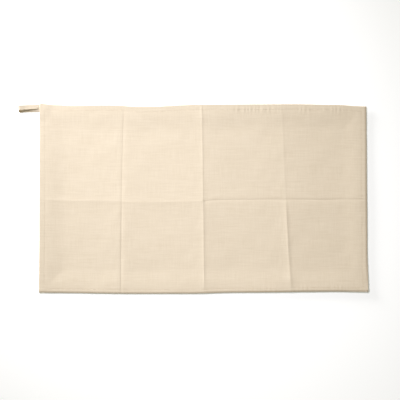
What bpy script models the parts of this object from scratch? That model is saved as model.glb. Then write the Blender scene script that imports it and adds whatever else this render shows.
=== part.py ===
"""A hemmed linen tea towel lying flat, pressed into folds, with a hanging loop at one corner.

Metres, +Z up. The origin is under the middle of the whole towel, loop included, on the surface it lies on.
+X runs along the long sides, away from the loop. +Y runs towards the hem that the loop is flush with.
"""
import bpy
import bmesh
from math import cos, pi, sin
from mathutils import Vector

# The cloth
CLOTH_LENGTH = 0.700
CLOTH_WIDTH = 0.400
CLOTH_THICKNESS = 0.00045
FIELDS = 4                       # the pressed creases divide the length into this many fields
CREASE_GAP = 0.0006              # between two fields, so that each can turn

# The hems: the edge is turned under twice
HEM_LAYERS = 3
SEAM_INSET = 0.0112              # from the cloth's edge to the seam, on the top, left and right hems
BOTTOM_SEAM_INSET = 0.0083
SEAM_TO_FOLD = 0.0014            # from the seam to the hem's inner fold

# The sewing thread
THREAD_WIDTH = 0.0004
THREAD_HEIGHT = 0.00025
THREAD_CLEARANCE = 0.0001        # between a thread and its groove
THREAD_SET_BACK = 0.00005        # from the cloth's surface down to the thread

# The hanging loop: one tape, doubled back on itself
LOOP_REACH = 0.045
LOOP_EYE = 0.0060                # clear height between the two legs
TAPE_WIDTH = 0.010
TAPE_THICKNESS = 0.0006
LEG_SHIFT = 0.0065               # the lower leg lies this far inside the upper one
LOOP_SHIFT_LENGTH = 0.012        # of the lower leg, next to the tip, over which it comes into line
TIP_CORNER_RADIUS = 0.0012
TAPE_TUCK = 0.0085               # of each end under the hem
TAPE_CLEARANCE = 0.0001          # between the tape's ends and their recess
LOOP_SEAM_INSET = 0.0045         # from the cloth's edge to the seam that holds the ends
LOOP_SEAM_MARGIN = 0.0010        # from the tape's edges to the ends of that seam

PIECE_GAP = 0.0003               # between pieces that meet face to face
LAYER_ROOM = 0.004               # between two folded layers, for the cloth's creases and lifted edges
LOOP_ROOM = 0.001                # between the cloth and the loop lying over it

# Sizes that follow
HEM_THICKNESS = HEM_LAYERS * CLOTH_THICKNESS
LEFT = -(CLOTH_LENGTH - LOOP_REACH) / 2
RIGHT = LEFT + CLOTH_LENGTH
TOP = CLOTH_WIDTH / 2
BOTTOM = -TOP
FIELD_LENGTH = CLOTH_LENGTH / FIELDS
TOP_SEAM_Y = TOP - SEAM_INSET
BOTTOM_SEAM_Y = BOTTOM + BOTTOM_SEAM_INSET
LEFT_SEAM_X = LEFT + SEAM_INSET
RIGHT_SEAM_X = RIGHT - SEAM_INSET
GROOVE_DEPTH = THREAD_SET_BACK + THREAD_HEIGHT + THREAD_CLEARANCE
GROOVE_HALF = THREAD_WIDTH / 2 + THREAD_CLEARANCE
RECESS_DEPTH = TAPE_THICKNESS + TAPE_CLEARANCE

LOOP_HEIGHT = LOOP_EYE + 2 * TAPE_THICKNESS
UPPER_LEG_Y = TOP - TAPE_WIDTH / 2
LOWER_LEG_Y = UPPER_LEG_Y - LEG_SHIFT
ENDS_LOW_Y = LOWER_LEG_Y - TAPE_WIDTH / 2
LOOP_SEAM_X = LEFT + LOOP_SEAM_INSET

# Joint axes, high enough for every stack of layers: the loop over the first field, the last field over
# the third, both over the second with the loop under them, and all of them over the first
LOOP_AXIS_Z = (HEM_THICKNESS + LOOP_ROOM + LOOP_HEIGHT) / 2
LOOP_FOLDED_TOP = 2 * LOOP_AXIS_Z
RIGHT_AXIS_Z = HEM_THICKNESS + LAYER_ROOM / 2
CENTRE_AXIS_Z = (LOOP_FOLDED_TOP + LAYER_ROOM + HEM_THICKNESS) / 2
LEFT_AXIS_Z = CENTRE_AXIS_Z + (LOOP_FOLDED_TOP + LAYER_ROOM) / 2


def material(name, colour, roughness):
    found = bpy.data.materials.get(name)
    if found:
        return found
    made = bpy.data.materials.new(name)
    made.use_nodes = True
    shader = made.node_tree.nodes["Principled BSDF"]
    shader.inputs["Base Color"].default_value = (*colour, 1)
    shader.inputs["Roughness"].default_value = roughness
    shader.inputs["Metallic"].default_value = 0
    return made


def linen():
    return material("natural_linen", (0.82, 0.70, 0.54), 0.9)


def tape():
    return material("linen_tape", (0.80, 0.68, 0.52), 0.9)


def thread():
    return material("sewing_thread", (0.78, 0.66, 0.50), 0.7)


def add_object(name, bm, made_of, axis=None):
    """One object from the mesh, with its origin on its joint's axis if it has one."""
    origin = Vector((axis[0], 0, axis[1])) if axis else Vector()
    bmesh.ops.translate(bm, vec=-origin, verts=bm.verts)
    bmesh.ops.recalc_face_normals(bm, faces=bm.faces)
    mesh = bpy.data.meshes.new(name)
    bm.to_mesh(mesh)
    bm.free()
    obj = bpy.data.objects.new(name, mesh)
    obj.location = origin
    obj.data.materials.append(made_of)
    bpy.context.scene.collection.objects.link(obj)
    return obj


def block(name, low, high, made_of, axis=None):
    """A box between two corners."""
    bm = bmesh.new()
    bmesh.ops.create_cube(bm, size=1)
    size = Vector(high) - Vector(low)
    bmesh.ops.scale(bm, vec=size, verts=bm.verts)
    bmesh.ops.translate(bm, vec=(Vector(high) + Vector(low)) / 2, verts=bm.verts)
    return add_object(name, bm, made_of, axis)


def cut(target, name, low, high):
    """Takes a box out of the target."""
    cutter = block(f"{name}_cutter", low, high, linen())
    cutter.hide_render = True
    cutter.display_type = "WIRE"
    modifier = target.modifiers.new(name, "BOOLEAN")
    modifier.operation = "DIFFERENCE"
    modifier.solver = "EXACT"
    modifier.object = cutter


# Where each field starts and ends, and the axis it turns on

def field_span(index):
    start = LEFT + index * FIELD_LENGTH
    end = start + FIELD_LENGTH
    if index > 0:
        start += CREASE_GAP / 2
    if index < FIELDS - 1:
        end -= CREASE_GAP / 2
    return start, end


def field_axis(index):
    heights = (None, LEFT_AXIS_Z, CENTRE_AXIS_Z, RIGHT_AXIS_Z)
    if index == 0:
        return None
    return LEFT + index * FIELD_LENGTH, heights[index]


# The seams, each a needle thread in the upper side and a bobbin thread in the under side

def thread_heights(side):
    if side == "needle":
        top = HEM_THICKNESS - THREAD_SET_BACK
        return top - THREAD_HEIGHT, top
    return THREAD_SET_BACK, THREAD_SET_BACK + THREAD_HEIGHT


def groove_heights(side):
    beyond = HEM_THICKNESS
    if side == "needle":
        return HEM_THICKNESS - GROOVE_DEPTH, HEM_THICKNESS + beyond
    return -beyond, GROOVE_DEPTH


def long_seam(field, hem, seam_y, index):
    """The part of the top or bottom seam that crosses one field."""
    start, end = field_span(index)
    groove_start, groove_end = start - CREASE_GAP, end + CREASE_GAP
    if index == 0:
        start = LEFT_SEAM_X - THREAD_WIDTH / 2
        groove_start = start - THREAD_CLEARANCE
    if index == FIELDS - 1:
        end = RIGHT_SEAM_X + THREAD_WIDTH / 2
        groove_end = end + THREAD_CLEARANCE
    for side in ("needle", "bobbin"):
        low, high = groove_heights(side)
        cut(field, f"{hem}_{side}_groove_{index + 1}",
            (groove_start, seam_y - GROOVE_HALF, low), (groove_end, seam_y + GROOVE_HALF, high))
        low, high = thread_heights(side)
        block(f"{hem}_hem_{side}_thread_{index + 1}",
              (start, seam_y - THREAD_WIDTH / 2, low), (end, seam_y + THREAD_WIDTH / 2, high),
              thread(), field_axis(index))


def short_seam(field, hem, seam_x, index):
    """The left or right seam. It stops short of the long seams at its ends."""
    low_y = BOTTOM_SEAM_Y + GROOVE_HALF
    high_y = TOP_SEAM_Y - GROOVE_HALF
    for side in ("needle", "bobbin"):
        low, high = groove_heights(side)
        cut(field, f"{hem}_{side}_groove",
            (seam_x - GROOVE_HALF, low_y + PIECE_GAP, low), (seam_x + GROOVE_HALF, high_y - PIECE_GAP, high))
        low, high = thread_heights(side)
        ends = PIECE_GAP + THREAD_CLEARANCE
        block(f"{hem}_hem_{side}_thread",
              (seam_x - THREAD_WIDTH / 2, low_y + ends, low), (seam_x + THREAD_WIDTH / 2, high_y - ends, high),
              thread(), field_axis(index))


def cloth_field(index):
    """One field of the cloth: thin in the middle, with the hem's layers along its outer edges."""
    start, end = field_span(index)
    field = block(f"cloth_field_{index + 1}", (start, BOTTOM, 0), (end, TOP, HEM_THICKNESS),
                  linen(), field_axis(index))
    inner_start = LEFT_SEAM_X + SEAM_TO_FOLD if index == 0 else start - CREASE_GAP
    inner_end = RIGHT_SEAM_X - SEAM_TO_FOLD if index == FIELDS - 1 else end + CREASE_GAP
    cut(field, f"single_layer_{index + 1}",
        (inner_start, BOTTOM_SEAM_Y + SEAM_TO_FOLD, CLOTH_THICKNESS),
        (inner_end, TOP_SEAM_Y - SEAM_TO_FOLD, 2 * HEM_THICKNESS))
    long_seam(field, "top", TOP_SEAM_Y, index)
    long_seam(field, "bottom", BOTTOM_SEAM_Y, index)
    return field


# The hanging loop

def tape_ends(field):
    """Both ends of the tape, pressed flat in a recess under the corner's hem, and the seam through them."""
    tuck_end = LEFT + TAPE_TUCK
    low_y, high_y = ENDS_LOW_Y, TOP - TAPE_CLEARANCE
    cut(field, "tape_recess",
        (LEFT - TAPE_TUCK, low_y - TAPE_CLEARANCE, -HEM_THICKNESS),
        (tuck_end + TAPE_CLEARANCE, TOP + TAPE_CLEARANCE, RECESS_DEPTH))
    ends = block("loop_tape_ends", (LEFT, low_y, 0), (tuck_end, high_y, TAPE_THICKNESS), tape())
    seam_low, seam_high = low_y + LOOP_SEAM_MARGIN, high_y - LOOP_SEAM_MARGIN
    for side, target in (("needle", field), ("bobbin", ends)):
        low, high = groove_heights(side)
        cut(target, f"loop_{side}_groove",
            (LOOP_SEAM_X - GROOVE_HALF, seam_low - THREAD_CLEARANCE, low),
            (LOOP_SEAM_X + GROOVE_HALF, seam_high + THREAD_CLEARANCE, high))
        low, high = thread_heights(side)
        block(f"loop_{side}_thread", (LOOP_SEAM_X - THREAD_WIDTH / 2, seam_low, low),
              (LOOP_SEAM_X + THREAD_WIDTH / 2, seam_high, high), thread())


def smooth(value):
    value = min(max(value, 0.0), 1.0)
    return value * value * (3 - 2 * value)


def loop_route():
    """The tape's middle line as (x, y, z) points: out along the lower leg, round the tip, back along the
    upper leg, which rises from the hem to the loop's full height."""
    half = TAPE_THICKNESS / 2
    low_z = half
    high_z = LOOP_HEIGHT - half
    tip_x = LEFT - LOOP_REACH + half
    root_x = LEFT - PIECE_GAP
    corner = TIP_CORNER_RADIUS
    points = []
    shift_start = tip_x + corner + LOOP_SHIFT_LENGTH
    steps = 8
    points.append((root_x, LOWER_LEG_Y, low_z))
    for step in range(steps + 1):
        share = step / steps
        x = shift_start - share * LOOP_SHIFT_LENGTH
        points.append((x, LOWER_LEG_Y + LEG_SHIFT * smooth(share), low_z))
    for centre_z, first in ((low_z + corner, -pi / 2), (high_z - corner, -pi)):
        for step in range(1 if first == -pi / 2 else 0, 5):
            turn = first - (pi / 2) * step / 4
            points.append((tip_x + corner + corner * cos(turn), UPPER_LEG_Y, centre_z + corner * sin(turn)))
    root_z = TAPE_THICKNESS + PIECE_GAP + half
    rise = 14
    for step in range(1, rise + 1):
        share = step / rise
        x = tip_x + corner + (root_x - tip_x - corner) * share
        points.append((x, UPPER_LEG_Y, high_z + (root_z - high_z) * smooth((share - 0.35) / 0.65)))
    return [Vector(p) for p in points]


def loop_tape():
    """The tape as a flat strip swept along its route, its width always along Y."""
    route = loop_route()
    bm = bmesh.new()
    rings = []
    for i, point in enumerate(route):
        before = route[max(i - 1, 0)]
        after = route[min(i + 1, len(route) - 1)]
        along = after - before
        across = Vector((-along.z, 0, along.x)).normalized() * (TAPE_THICKNESS / 2)
        side = Vector((0, TAPE_WIDTH / 2, 0))
        corners = (point + across + side, point + across - side, point - across - side, point - across + side)
        rings.append([bm.verts.new(corner) for corner in corners])
    for first, second in zip(rings, rings[1:]):
        for i in range(4):
            bm.faces.new((first[i], first[(i + 1) % 4], second[(i + 1) % 4], second[i]))
    bm.faces.new(rings[0])
    bm.faces.new(reversed(rings[-1]))
    return add_object("loop_tape", bm, tape(), (LEFT, LOOP_AXIS_Z))


for old in list(bpy.data.objects):
    bpy.data.objects.remove(old, do_unlink=True)

fields = [cloth_field(index) for index in range(FIELDS)]
short_seam(fields[0], "left", LEFT_SEAM_X, 0)
short_seam(fields[-1], "right", RIGHT_SEAM_X, FIELDS - 1)
tape_ends(fields[0])
loop_tape()
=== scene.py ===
import bmesh
import bpy
import math
import numpy as np
from mathutils import Matrix, Vector


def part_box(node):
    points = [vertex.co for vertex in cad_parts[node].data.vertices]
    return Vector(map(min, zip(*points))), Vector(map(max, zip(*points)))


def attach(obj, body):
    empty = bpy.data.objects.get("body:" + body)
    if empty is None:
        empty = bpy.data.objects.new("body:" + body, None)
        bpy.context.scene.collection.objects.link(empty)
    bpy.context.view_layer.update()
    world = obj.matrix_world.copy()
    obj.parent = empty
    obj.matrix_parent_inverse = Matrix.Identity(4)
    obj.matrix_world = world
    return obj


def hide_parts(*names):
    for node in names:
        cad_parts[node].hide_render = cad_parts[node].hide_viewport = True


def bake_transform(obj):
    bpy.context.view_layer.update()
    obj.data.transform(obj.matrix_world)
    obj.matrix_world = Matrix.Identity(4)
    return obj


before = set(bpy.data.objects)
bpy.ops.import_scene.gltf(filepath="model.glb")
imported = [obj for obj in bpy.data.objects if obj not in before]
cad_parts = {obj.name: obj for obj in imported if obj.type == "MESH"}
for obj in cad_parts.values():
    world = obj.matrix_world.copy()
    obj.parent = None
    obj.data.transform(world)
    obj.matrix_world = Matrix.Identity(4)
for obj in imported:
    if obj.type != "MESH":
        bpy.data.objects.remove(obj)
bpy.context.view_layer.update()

MM = 0.001


# ---------------------------------------------------------------------------
# The cloth: one panel of washed natural linen in plain weave, its four edges turned under twice. It was
# pressed while folded in eight, which left three creases across it and one along it. It is made in three
# sheets, each across one crease, which meet in the middle of a field.

def seam_place(thread, axis):
    """Where a seam lies across its own direction."""
    low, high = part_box(thread)
    return (low[axis] + high[axis]) / 2


first_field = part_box("cloth_field_1")
last_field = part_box("cloth_field_4")
LEFT, BOTTOM = first_field[0].x, first_field[0].y
RIGHT, TOP = last_field[1].x, last_field[1].y
LENGTH, WIDTH = RIGHT - LEFT, TOP - BOTTOM
HEM = first_field[1].z - first_field[0].z          # the hem's three layers
CLOTH = HEM / 3
CREASES = [(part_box(f"cloth_field_{n}")[1].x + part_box(f"cloth_field_{n + 1}")[0].x) / 2 for n in (1, 2, 3)]
TOP_SEAM = seam_place("top_hem_needle_thread_1", 1)
BOTTOM_SEAM = seam_place("bottom_hem_needle_thread_1", 1)
LEFT_SEAM = seam_place("left_hem_needle_thread", 0)
RIGHT_SEAM = seam_place("right_hem_needle_thread", 0)
ENDS_LOW, ENDS_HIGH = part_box("loop_tape_ends")     # of the loop, under the hem
SEAM_TO_FOLD = 1.4 * MM
PRESSED_ROUND = 0.5 * MM           # how far in the left and top folded edges are rounded
LOOSE_ROUND = 1.0 * MM             # and the bottom and right ones
HEM_SLOPE = 45 * MM                # over which the single layer comes down beside the hem
HELD_FLAT = 30 * MM                # beside the edges, where the hem flattens the creases
LIFT_REACH = 22 * MM               # how far in the left and top edges stand up
ENDS_SLOPE = 30 * MM               # over which the cloth comes down beside the loop's ends
ENDS_GAP = 0.2 * MM
SEAM_DEPTH = 0.09 * MM             # how far the stitches draw the cloth in
SEAM_REACH = 0.9 * MM

# How far each edge lies from a straight one, as (share of its length, metres outward along +X or +Y)
TOP_EDGE = ((0, 0.0034), (0.045, 0.0006), (0.1, -0.0012), (0.2, 0.0), (0.32, -0.0034), (0.5, 0.0013),
            (0.78, 0.0022), (0.9, 0.0008), (1, -0.0028))
BOTTOM_EDGE = ((0, -0.0003), (0.3, -0.0024), (0.45, -0.0022), (0.6, 0.0001), (0.9, 0.0020), (1, 0.0016))
LEFT_EDGE = ((0, -0.0010), (0.3, 0.0), (1, 0.0005))
RIGHT_EDGE = ((0, 0.0021), (0.25, -0.0001), (0.7, -0.0014), (1, -0.0022))

# The crease along the cloth shifts a little at each one that it crosses, as (share of the length, its Y).
LONG_CREASE = ((0, -0.0032), (0.24, -0.0030), (0.27, -0.0048), (0.48, -0.0050), (0.56, -0.0028),
               (0.7, -0.0026), (0.86, -0.0036), (1, -0.0008))
# The three across it are never quite square to the hem: the mm that 1, v and v squared move each of them,
# where v is 0 in the middle of the cloth and 1 at its top edge.
CREASE_LEANS = ((0.9, 2.9, 2.0), (0.0, -1.9, -0.4), (1.6, -8.8, 1.3))


def smooth(value):
    value = np.clip(value, 0.0, 1.0)
    return value * value * (3 - 2 * value)


def wander(points, share):
    """A smooth line through a few points."""
    total = np.full(np.shape(share), float(points[0][1]))
    for (a, low), (b, high) in zip(points, points[1:]):
        total += (high - low) * smooth((share - a) / (b - a))
    return total


def laid(x, y):
    """Where a point of the flat, straight-edged cloth lies: its edges wander a little."""
    along, across = (x - LEFT) / LENGTH, (y - BOTTOM) / WIDTH
    aside = (1 - along) * wander(LEFT_EDGE, across) + along * wander(RIGHT_EDGE, across)
    up = (1 - across) * wander(BOTTOM_EDGE, along) + across * wander(TOP_EDGE, along)
    return x + aside, y + up


def ridge(distance, tall, wide, crest, before, beyond):
    """A crease pressed upwards: a low wide roof with a sharp crest whose two sides differ. Sizes in mm."""
    d = np.abs(distance) / MM
    fall = np.where(distance > 0, beyond, before)
    return MM * (tall * np.exp(-d / wide) + crest * np.exp(-d / fall))


def valley(distance, tall, wide, before, beyond):
    """A crease pressed downwards: the cloth lies on the table in it and stands up on both sides."""
    d = np.abs(distance) / MM
    steep = np.where(distance > 0, beyond, before)
    return MM * tall * (1 - np.exp(-d / steep)) * np.exp(-d / wide)


def beyond_crease(index, x, y):
    """How far to the right of one of the three creases across the cloth a point is."""
    v = y / TOP
    base, lean, bow = CREASE_LEANS[index]
    return x - CREASES[index] - MM * (base + lean * v + bow * v * v)


def creases(x, y):
    """All four pressed creases. Those across the cloth are sharper in its lower half."""
    lower = smooth((0.004 - y) / 0.050)
    first = valley(beyond_crease(0, x, y), 0.36 + 0.18 * lower, 24, 2.4, 5.0)
    second = ridge(beyond_crease(1, x, y), 0.85, 45, 0.32 + 0.16 * lower, 5.5, 2.2 + 1.0 * lower)
    third = ridge(beyond_crease(2, x, y), 0.38 + 0.27 * lower, 40, 0.14 + 0.50 * lower, 6.5, 2.8)
    off = y - wander(LONG_CREASE, (x - LEFT) / LENGTH)
    raised = smooth((CREASES[1] - x) / 0.010 + 0.5)
    along = raised * ridge(off, 0.45, 28, 0.16, 7.0, 4.5) + (1 - raised) * valley(off, 0.38, 26, 6.0, 2.4)
    return first + second + third + along


def ripples(x, y):
    """Soft unevenness left by washing and ironing, a few centimetres from crest to crest."""
    a = np.sin(x / 0.019 + 1.7 * np.sin(y / 0.047)) * np.sin(y / 0.023 + 1.3 * np.sin(x / 0.061))
    b = np.sin((x + 0.6 * y) / 0.034 + 0.8) * np.sin((y - 0.4 * x) / 0.052 + 2.1)
    c = np.sin((x - y) / 0.0085 + 2.0 * np.sin(x / 0.028)) * np.sin((x + y) / 0.026)
    return MM * (0.26 + 0.10 * a + 0.12 * b + 0.035 * c)


def puckers(along, off):
    """A seam gathers the cloth into short ripples across it, strongest at the stitches."""
    wave = np.sin(along / 0.00150 + 2.2 * np.sin(along / 0.0101) + 1.2 * np.sin(along / 0.0037))
    swell = 0.55 + 0.45 * np.sin(along / 0.0163 + 1.9 * np.sin(along / 0.041))
    return MM * swell * (1 + wave) / 2 * np.exp(-(off / 0.0075) ** 2)


def curled(distance):
    """A raised hem: the cloth comes up to it slowly, and it bends down again at the edge."""
    return np.exp(-distance / 0.065) * (0.35 + 0.65 * smooth(distance / 0.0036))


def lifted(x, y):
    """The bottom and right hems don't lie down on the table, and the left and top edges stand up a little,
    except near the loop."""
    along, across = (x - LEFT) / LENGTH, (y - BOTTOM) / WIDTH
    low_hem = (1.25 + 0.75 * smooth((along - 0.3) / 0.6)) * curled(y - BOTTOM)
    right_hem = (1.70 - 0.45 * smooth((across - 0.5) / 0.4)) * curled(RIGHT - x)
    left_edge = 0.85 * smooth((TOP - y) / 0.10 - 0.3) * np.exp(-(x - LEFT) / LIFT_REACH)
    top_edge = 0.75 * smooth((x - LEFT) / 0.10 - 0.3) * np.exp(-(TOP - y) / LIFT_REACH)
    return MM * (np.maximum(low_hem, right_hem) + left_edge + top_edge)


def rise(x, y):
    """The height of the cloth's under side over the table, were it one layer thick."""
    along = (x - LEFT) / LENGTH
    to_edge = np.minimum(np.minimum(x - LEFT, RIGHT - x), np.minimum(y - BOTTOM, TOP - y))
    total = (creases(x, y) + ripples(x, y)) * (0.45 + 0.55 * smooth(to_edge / HELD_FLAT)) + lifted(x, y)
    total += 0.30 * smooth((along - 0.35) / 0.3) * puckers(x, TOP_SEAM - y)
    total += (0.08 + 0.26 * smooth((along - 0.5) / 0.3)) * puckers(x, y - BOTTOM_SEAM)
    total += 0.12 * puckers(y, x - LEFT_SEAM)
    total += 0.16 * puckers(y, RIGHT_SEAM - x)
    # at the loop's corner the hem lies over the strip's two ends
    beside_ends = smooth((ENDS_HIGH.x + ENDS_SLOPE - x) / ENDS_SLOPE)
    over_ends = beside_ends * smooth((y - ENDS_LOW.y + ENDS_SLOPE) / ENDS_SLOPE)
    return np.maximum(total, over_ends * (ENDS_HIGH.z + ENDS_GAP))


def inside_seams(x, y):
    """How far inside the nearest hem seam a point is. It is negative outside the seams."""
    return np.minimum(np.minimum(x - LEFT_SEAM, RIGHT_SEAM - x), np.minimum(y - BOTTOM_SEAM, TOP_SEAM - y))


def groove(x, y):
    """The stitches draw the cloth in along each seam."""
    return SEAM_DEPTH * np.exp(-(inside_seams(x, y) / SEAM_REACH) ** 2)


def rounded(x, y):
    """The round of a folded edge, from 0 at the edge to 1 where the cloth has its full thickness."""
    pressed = np.minimum(x - LEFT, TOP - y) / PRESSED_ROUND
    loose = np.minimum(RIGHT - x, y - BOTTOM) / LOOSE_ROUND
    inside = np.clip(1 - np.minimum(pressed, loose), 0, 1)
    return np.sqrt(1 - inside ** 2)


def upper(x, y):
    """The height of the cloth's face."""
    beside_hem = 1 - smooth((inside_seams(x, y) - SEAM_TO_FOLD) / HEM_SLOPE)
    height = rise(x, y) + CLOTH + (HEM - CLOTH) * beside_hem - groove(x, y)
    return height - HEM / 2 * (1 - rounded(x, y))


def under(x, y):
    """The height of its back, which steps down where the hem's other two layers begin."""
    fold = inside_seams(x, y) - SEAM_TO_FOLD
    beside_hem = 1 - smooth(fold / HEM_SLOPE)
    in_hem = smooth(0.5 - fold / (0.5 * MM))
    height = rise(x, y) + (HEM - CLOTH) * (beside_hem - in_hem)
    return height + HEM / 2 * (1 - rounded(x, y)) + 0.5 * in_hem * groove(x, y)


def lines(start, end, close, finest, coarsest):
    """Grid lines from start to end, closer together near some places."""
    places = [start]
    while places[-1] < end:
        nearest = min(abs(places[-1] - place) for place in close)
        places.append(places[-1] + min(finest + 0.16 * nearest, coarsest))
    places = np.array(places)
    return start + (places - start) * (end - start) / (places[-1] - start)


def edge_lines(start, end, close, finest, coarsest, round_start, round_end):
    """The same, with a few more lines round the folded edges."""
    turn = 1 - np.cos(np.linspace(0, math.pi / 2, 6)[:-1])
    middle = lines(start + round_start, end - round_end, close, finest, coarsest)
    before = start + round_start * turn if round_start else []
    after = (end - round_end * turn)[::-1] if round_end else []
    return np.concatenate((before, middle, after))


def cloth_sheet(name, start, end):
    """A closed sheet between two places along the cloth: a grid for its face and one for its back."""
    seams = (BOTTOM_SEAM, BOTTOM_SEAM + SEAM_TO_FOLD, TOP_SEAM, TOP_SEAM - SEAM_TO_FOLD)
    ys = edge_lines(BOTTOM, TOP, (*seams, 0.0, -0.006), 0.35 * MM, 2.3 * MM,
                    LOOSE_ROUND, PRESSED_ROUND)
    close = [*CREASES, LEFT_SEAM, LEFT_SEAM + SEAM_TO_FOLD, RIGHT_SEAM, RIGHT_SEAM - SEAM_TO_FOLD]
    xs = edge_lines(start, end, close, 0.5 * MM, 1.9 * MM,
                    (start == LEFT) * PRESSED_ROUND, (end == RIGHT) * LOOSE_ROUND)
    bm = bmesh.new()
    bmesh.ops.create_grid(bm, x_segments=len(xs) - 1, y_segments=len(ys) - 1, size=0.5)
    spots = np.array([v.co for v in bm.verts])
    columns = np.rint((spots[:, 0] + 0.5) * (len(xs) - 1)).astype(int)
    rows = np.rint((spots[:, 1] + 0.5) * (len(ys) - 1)).astype(int)
    x, y = xs[columns], ys[rows]
    lower_side = bmesh.ops.duplicate(bm, geom=bm.verts[:] + bm.edges[:] + bm.faces[:])["geom"]
    bmesh.ops.reverse_faces(bm, faces=[g for g in lower_side if isinstance(g, bmesh.types.BMFace)])
    out_x, out_y = laid(x, y)
    tops = np.stack((out_x, out_y, upper(x, y)), 1)
    unders = np.stack((out_x, out_y, under(x, y)), 1)
    for vert, place in zip(bm.verts, np.concatenate((tops, unders))):
        vert.co = place
    rim = [v for v in bm.verts if v.is_boundary]
    bmesh.ops.bridge_loops(bm, edges=[e for e in bm.edges if e.is_boundary])
    bmesh.ops.remove_doubles(bm, verts=rim, dist=0.01 * MM)
    return finished(name, bm)


def finished(name, bm, angle=50):
    mesh = bpy.data.meshes.new(name)
    bm.to_mesh(mesh)
    bm.free()
    mesh.shade_smooth()
    mesh.set_sharp_from_angle(angle=math.radians(angle))
    obj = bpy.data.objects.new(name, mesh)
    bpy.context.scene.collection.objects.link(obj)
    return obj


def linear(hex_colour):
    """An sRGB hex colour as the linear colour that a shader takes."""
    shares = [int(hex_colour[i:i + 2], 16) / 255 for i in (1, 3, 5)]
    return tuple(s / 12.92 if s <= 0.04045 else ((s + 0.055) / 1.055) ** 2.4 for s in shares) + (1,)


def node(tree, kind, links, values=None, **settings):
    """Adds a node with its settings. The links and the values both go by input socket."""
    made = tree.nodes.new(kind)
    for name, value in settings.items():
        setattr(made, name, value)
    for socket, value in (values or {}).items():
        made.inputs[socket].default_value = value
    for socket, source in links.items():
        tree.links.new(made.inputs[socket], source)
    return made


def new_material(name, values):
    made = bpy.data.materials.new(name)
    made.use_nodes = True
    shader = made.node_tree.nodes["Principled BSDF"]
    for socket, value in values.items():
        shader.inputs[socket].default_value = value
    return made, made.node_tree, shader


# Linen yarn is uneven: some threads are thicker and paler for a few centimetres, and neighbouring picks
# bunch together into faint streaks. The real threads are 0.6 mm apart, and are drawn 1.1 mm apart.
THREAD_SPACING = 1.1 * MM
STREAK_WIDTH = 3.0 * MM
STREAK_LENGTH = 38 * MM
DRIFT = 1.2 * MM                   # how far the threads wander sideways
DRIFT_LENGTH = 14 * MM
WEAVE_DEPTH = 0.14 * MM


def woven(name, pale, deep, spacing):
    """Plain weave: single threads that go over and under each other, with streaks of bunched ones."""
    made, tree, shader = new_material(
        name, {"Roughness": 0.88, "Sheen Weight": 0.10, "Sheen Roughness": 0.5})
    spot = node(tree, "ShaderNodeTexCoord", {}).outputs["Object"]
    drift = node(tree, "ShaderNodeTexNoise", {"Vector": spot}, {"Scale": 1 / DRIFT_LENGTH, "Detail": 1.0})
    bent = node(tree, "ShaderNodeVectorMath", {0: drift.outputs["Color"]}, {"Scale": DRIFT},
                operation="SCALE")
    moved = node(tree, "ShaderNodeVectorMath", {0: spot, 1: bent.outputs[0]}, operation="ADD").outputs[0]
    place = node(tree, "ShaderNodeSeparateXYZ", {0: moved})

    def wave(axis):
        turn = node(tree, "ShaderNodeMath", {0: place.outputs[axis]}, {1: math.pi / spacing},
                    operation="MULTIPLY")
        return node(tree, "ShaderNodeMath", {0: turn.outputs[0]}, operation="SINE").outputs[0]

    def yarns(size_x, size_y):
        stretch = node(tree, "ShaderNodeVectorMath", {0: moved},
                       {1: (1 / size_x, 1 / size_y, 1 / size_y)}, operation="MULTIPLY")
        return node(tree, "ShaderNodeTexNoise", {"Vector": stretch.outputs[0]},
                    {"Scale": 1.0, "Detail": 2.0, "Roughness": 0.6}).outputs["Fac"]

    crossing = node(tree, "ShaderNodeMath", {0: wave("X"), 1: wave("Y")}, operation="MULTIPLY").outputs[0]
    bead = node(tree, "ShaderNodeMath", {0: crossing}, operation="ABSOLUTE").outputs[0]
    on_top = node(tree, "ShaderNodeMapRange", {"Value": crossing},
                  {"From Min": -0.25, "From Max": 0.25}).outputs[0]
    single = node(tree, "ShaderNodeMix", {"Factor": on_top, "A": yarns(STREAK_LENGTH, spacing),
                                          "B": yarns(spacing, STREAK_LENGTH)}).outputs[0]
    bunched = node(tree, "ShaderNodeMix", {"A": yarns(STREAK_LENGTH, STREAK_WIDTH),
                                           "B": yarns(STREAK_WIDTH, STREAK_LENGTH)},
                   {"Factor": 0.40}).outputs[0]
    yarn = node(tree, "ShaderNodeMath", {0: single, 1: bunched}, operation="ADD").outputs[0]
    tone = node(tree, "ShaderNodeMapRange", {"Value": yarn}, {"From Min": 0.50, "From Max": 1.50})
    tint = node(tree, "ShaderNodeMix", {"Factor": tone.outputs[0]}, {"A": linear(deep), "B": linear(pale)},
                data_type="RGBA")
    tree.links.new(shader.inputs["Base Color"], tint.outputs["Result"])
    threads = node(tree, "ShaderNodeMath", {0: bead, 1: single}, operation="ADD").outputs[0]
    height = node(tree, "ShaderNodeMath", {0: bunched, 1: threads}, operation="ADD").outputs[0]
    bump = node(tree, "ShaderNodeBump", {"Height": height}, {"Strength": 0.5, "Distance": WEAVE_DEPTH})
    tree.links.new(shader.inputs["Normal"], bump.outputs[0])
    return made


linen = woven("natural_linen_plain_weave", "#EEE3CE", "#DACDB4", THREAD_SPACING)

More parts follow.
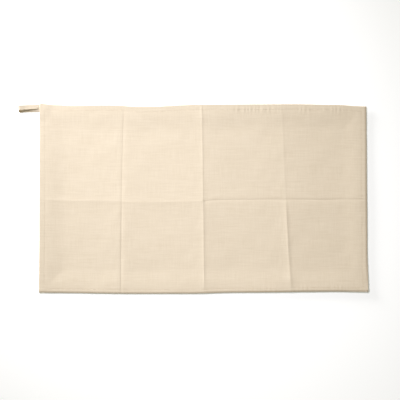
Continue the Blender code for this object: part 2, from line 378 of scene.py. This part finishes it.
MIDDLE_OF_SECOND = (CREASES[0] + CREASES[1]) / 2
MIDDLE_OF_THIRD = (CREASES[1] + CREASES[2]) / 2
SHEETS = (
    {"side": "left", "start": LEFT, "end": MIDDLE_OF_SECOND, "fields": (1,),
     "crease": CREASES[0], "joint": "fold_left", "bodies": ("first_field", "second_field")},
    {"side": "middle", "start": MIDDLE_OF_SECOND, "end": MIDDLE_OF_THIRD, "fields": (2, 3),
     "crease": CREASES[1], "joint": "fold_centre", "bodies": ("second_field", "third_field")},
    {"side": "right", "start": MIDDLE_OF_THIRD, "end": RIGHT, "fields": (4,),
     "crease": CREASES[2], "joint": "fold_right", "bodies": ("third_field", "fourth_field")},
)


def bend(obj):
    """Bakes the transform of a piece on one of the three sheets into its mesh."""
    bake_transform(obj)


for sheet in SHEETS:
    cloth = cloth_sheet(f"linen_cloth_{sheet['side']}", sheet["start"], sheet["end"])
    cloth.data.materials.append(linen)
    bend(cloth)
    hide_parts(*(f"cloth_field_{n}" for n in sheet["fields"]))


# ---------------------------------------------------------------------------
# The hem seams: spun polyester thread, lockstitched about eight stitches to the inch. The needle thread
# shows on the face and the bobbin thread on the back, and both dip into the cloth between stitches.

STITCH = 3.1 * MM
STITCH_SHOWN = 0.84                # of each stitch, the rest is down in the cloth
THREAD_THICKNESS = 0.42 * MM
THREAD_PRESSED = 0.84              # of its thickness, which is left where it is drawn tight
THREAD_PROUD = 0.12                # of its thickness, how far its middle stands off the cloth


def sewing_thread():
    """Twisted fibres, a shade deeper than the cloth."""
    made, tree, shader = new_material("spun_polyester_thread", {"Roughness": 0.55, "Sheen Weight": 0.15})
    spot = node(tree, "ShaderNodeTexCoord", {}).outputs["Object"]
    fibres = node(tree, "ShaderNodeTexNoise", {"Vector": spot}, {"Scale": 1 / (0.5 * MM), "Detail": 2.0})
    tint = node(tree, "ShaderNodeMix", {"Factor": fibres.outputs["Fac"]},
                {"A": linear("#CDBFA6"), "B": linear("#E2D6C2")}, data_type="RGBA")
    tree.links.new(shader.inputs["Base Color"], tint.outputs["Result"])
    bump = node(tree, "ShaderNodeBump", {"Height": fibres.outputs["Fac"]},
                {"Strength": 0.4, "Distance": 0.1 * MM})
    tree.links.new(shader.inputs["Normal"], bump.outputs[0])
    return made


thread = sewing_thread()


def stitches(name, ends, surface, face):
    """A row of stitches between two points of the flat cloth, on its upper (1) or under (-1) side."""
    (x0, y0), (x1, y1) = ends
    count = round(math.hypot(x1 - x0, y1 - y0) / STITCH)
    shares = np.linspace(0, 1, 2 * count + 1)
    x, y = x0 + (x1 - x0) * shares, y0 + (y1 - y0) * shares
    spots = np.stack((*laid(x, y), surface(x, y)), 1)
    half_sizes = (STITCH * STITCH_SHOWN / 2, THREAD_THICKNESS / 2, THREAD_THICKNESS * THREAD_PRESSED / 2, 1)
    size = Matrix.Diagonal(half_sizes)
    end_on = Matrix.Rotation(math.pi / 2, 4, "Y")
    bm = bmesh.new()
    for n in range(count):
        before, centre, after = (Vector(spots[2 * n + k]) for k in range(3))
        along = (after - before).normalized()
        across = Vector((0, 0, face)).cross(along).normalized()
        up = along.cross(across)
        turn = Matrix((along, across, up)).transposed().to_4x4()
        lift = Matrix.Translation(centre + up * THREAD_THICKNESS * THREAD_PROUD)
        bmesh.ops.create_uvsphere(bm, u_segments=7, v_segments=6, radius=1,
                                  matrix=lift @ turn @ size @ end_on)
    row = finished(name, bm, angle=80)
    row.data.materials.append(thread)
    return row


THREADS = (("needle", upper, 1), ("bobbin", under, -1))
rows_on_sheet = ([], [], [])
for hem, seam_y in (("top", TOP_SEAM), ("bottom", BOTTOM_SEAM)):
    for kind, surface, face in THREADS:
        for index, sheet in enumerate(SHEETS):
            ends = ((max(sheet["start"], LEFT_SEAM), seam_y), (min(sheet["end"], RIGHT_SEAM), seam_y))
            row = stitches(f"{hem}_hem_{kind}_stitches_{sheet['side']}", ends, surface, face)
            bend(row)
            rows_on_sheet[index].append(row)
            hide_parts(*(f"{hem}_hem_{kind}_thread_{n}" for n in sheet["fields"]))
for hem, seam_x, body, index in (("left", LEFT_SEAM, "first_field", 0),
                                 ("right", RIGHT_SEAM, "fourth_field", 2)):
    for kind, surface, face in THREADS:
        ends = ((seam_x, BOTTOM_SEAM), (seam_x, TOP_SEAM))
        row = stitches(f"{hem}_hem_{kind}_stitches", ends, surface, face)
        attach(row, body)
        rows_on_sheet[index].append(row)
        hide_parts(f"{hem}_hem_{kind}_thread")


# ---------------------------------------------------------------------------
# The hanging loop: a narrow strip of the same linen, folded lengthwise and pressed, doubled back on itself.
# Its lower leg is turned on its side a little inside the upper one, which leans over it. A short seam of the
# same thread holds both ends under the hem at the corner.

tape_low, tape_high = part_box("loop_tape")
TAPE_THICKNESS = ENDS_HIGH.z - ENDS_LOW.z
TAPE_WIDTH = 10 * MM
LEG_WIDTH = 0.94 * TAPE_WIDTH      # the pressed strip is drawn a little smaller than its room
LEG_THICKNESS = 0.8 * TAPE_THICKNESS
LEG_SHIFT = tape_high.y - tape_low.y - TAPE_WIDTH
TIP_RADIUS = (tape_high.z - tape_low.z - TAPE_THICKNESS) / 2
TIP = tape_low.x + TAPE_THICKNESS / 2 + TIP_RADIUS
TIP_SLANT = 0.17                   # the fold at the tip isn't quite square to the strip
SLANT_LENGTH = 12 * MM
LOWER_TILT = math.radians(28)      # the lower leg has turned on its side: its outer edge is on the table
TWIST_LENGTH = 8 * MM              # from the tip to where it has turned
UPPER_TILT = math.radians(8)       # the upper leg leans the other way, over the lower one
LOWER_DRIFT = 1.5 * MM             # how far each leg runs askew towards the cloth's top edge
UPPER_DRIFT = 2.6 * MM
UPPER_START = 1.0 * MM
ROOT = LEFT - 0.5 * MM
ROOT_HEIGHT = TAPE_THICKNESS * 1.5 + 0.15 * MM


def upper_leg_height(x):
    """It comes down from the tip, a little faster towards the hem."""
    high = tape_high.z - TAPE_THICKNESS / 2
    share = (x - TIP) / (ROOT - TIP)
    return high + (ROOT_HEIGHT - high) * (0.6 * share + 0.4 * share * share)


def loop_route():
    """The strip's middle line, as (x, y, z, tilt): out on the table, round the tip and back over itself."""
    low = TAPE_THICKNESS / 2
    lower_y, upper_y = tape_low.y + TAPE_WIDTH / 2, tape_high.y - TAPE_WIDTH / 2
    route = []
    for x in np.linspace(ENDS_HIGH.x, TIP, 46):
        room = max(0.0, upper_leg_height(x) - 1.65 * TAPE_THICKNESS) if x < ROOT else 0.0
        turned = min(LOWER_TILT, math.asin(room / TAPE_WIDTH)) * float(smooth((x - TIP) / TWIST_LENGTH))
        aside = LOWER_DRIFT * min(1.0, (x - TIP) / (ROOT - TIP))
        route.append((x, lower_y + aside, low + math.sin(turned) * TAPE_WIDTH / 2, turned))
    for turn in np.linspace(0, math.pi, 15)[1:-1]:
        y = lower_y + (LEG_SHIFT - UPPER_START) * float(smooth(turn / math.pi))
        route.append((TIP - TIP_RADIUS * math.sin(turn), y, low + TIP_RADIUS * (1 - math.cos(turn)), 0.0))
    for x in np.linspace(TIP, ROOT, 34):
        share = (x - TIP) / (ROOT - TIP)
        leaning = UPPER_TILT * float(smooth((share - 0.15) / 0.4) * smooth((1 - share) / 0.10))
        aside = UPPER_DRIFT * share - UPPER_START
        route.append((x, upper_y + aside, upper_leg_height(x), -leaning))
    for x in np.linspace(ROOT, ENDS_HIGH.x, 8)[1:]:
        route.append((x, upper_y + UPPER_DRIFT - UPPER_START, ROOT_HEIGHT, 0.0))
    return route


def loop_tape():
    route = loop_route()
    bm = bmesh.new()
    bmesh.ops.create_grid(bm, x_segments=len(route) - 1, y_segments=8, size=0.5)
    for vert in bm.verts:
        x, y, z, tilt = route[round((vert.co.x + 0.5) * (len(route) - 1))]
        side = vert.co.y * LEG_WIDTH
        slant = TIP_SLANT * side * float(smooth((TIP + SLANT_LENGTH - x) / SLANT_LENGTH))
        vert.co = (x - slant, y + side * math.cos(tilt), z + side * math.sin(tilt))
    bmesh.ops.recalc_face_normals(bm, faces=bm.faces)
    bmesh.ops.solidify(bm, geom=bm.faces[:], thickness=LEG_THICKNESS)
    bmesh.ops.recalc_face_normals(bm, faces=bm.faces)
    return finished("hanging_loop_tape", bm, angle=60)


tape = loop_tape()
tape_linen = woven("linen_strip", "#EEE3CE", "#D6C8AF", 0.8 * MM)
tape.data.materials.append(tape_linen)
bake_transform(tape)
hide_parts("loop_tape", "loop_tape_ends")

loop_seam_x = seam_place("loop_needle_thread", 0)
loop_seam_ends = [(loop_seam_x, corner.y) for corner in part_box("loop_needle_thread")]
for kind, surface, face in THREADS:
    row = stitches(f"loop_{kind}_stitches", loop_seam_ends, surface, face)
    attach(row, "first_field")
    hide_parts(f"loop_{kind}_thread")


# ---------------------------------------------------------------------------
# The setting: a matt white table that runs on far behind the cloth, a soft box from the upper left, a low
# window beside it whose light grazes the creases, and a camera straight above.

FLOOR_SIZE = 40
FLOOR_DROP = 0.35 * MM

bm = bmesh.new()
bmesh.ops.create_grid(bm, x_segments=1, y_segments=1, size=FLOOR_SIZE)
bmesh.ops.translate(bm, vec=(0, 0, -FLOOR_DROP), verts=bm.verts)
floor = finished("floor", bm)
white, *_ = new_material("matt_white_table", {
    "Base Color": linear("#F9F9F9"), "Roughness": 0.95,
    "Emission Color": (0.84, 0.96, 1.0, 1), "Emission Strength": 0.27})
floor.data.materials.append(white)


def soft_light(name, place, aim, size, spread, power, colour):
    """A soft box, whose grid keeps its light within a spread angle."""
    light = bpy.data.lights.new(name, "AREA")
    light.shape = "ELLIPSE"
    light.size, light.size_y = size
    light.spread = math.radians(spread)
    light.energy = power
    light.color = colour
    obj = bpy.data.objects.new(name, light)
    obj.location = place
    obj.rotation_euler = (Vector(aim) - Vector(place)).to_track_quat("-Z", "Y").to_euler()
    bpy.context.scene.collection.objects.link(obj)


soft_light("soft_box", place=(-1.11, 1.42, 1.5), aim=(0.04, -0.09, 0), size=(0.8, 0.8), spread=49,
           power=5.85, colour=(0.93, 0.92, 1.0))
soft_light("low_window", place=(-2.5, 2.35, 0.37), aim=(0, 0, 0), size=(1.8, 0.40), spread=180,
           power=175, colour=(1.0, 1.0, 1.0))

scene = bpy.context.scene
world = bpy.data.worlds.new("studio")
scene.world = world
world.use_nodes = True
background = world.node_tree.nodes["Background"]
background.inputs["Color"].default_value = (1.0, 0.84, 0.52, 1)
background.inputs["Strength"].default_value = 0.22

VIEW_WIDTH = 0.854
CAMERA_HEIGHT = 2.2
CAMERA_PLACE = (0.0154, -0.0026)

lens = bpy.data.cameras.new("camera")
lens.angle = 2 * math.atan(VIEW_WIDTH / 2 / CAMERA_HEIGHT)
camera = bpy.data.objects.new("camera", lens)
camera.location = (*CAMERA_PLACE, CAMERA_HEIGHT)
scene.collection.objects.link(camera)
scene.camera = camera
scene.view_settings.view_transform = "Standard"
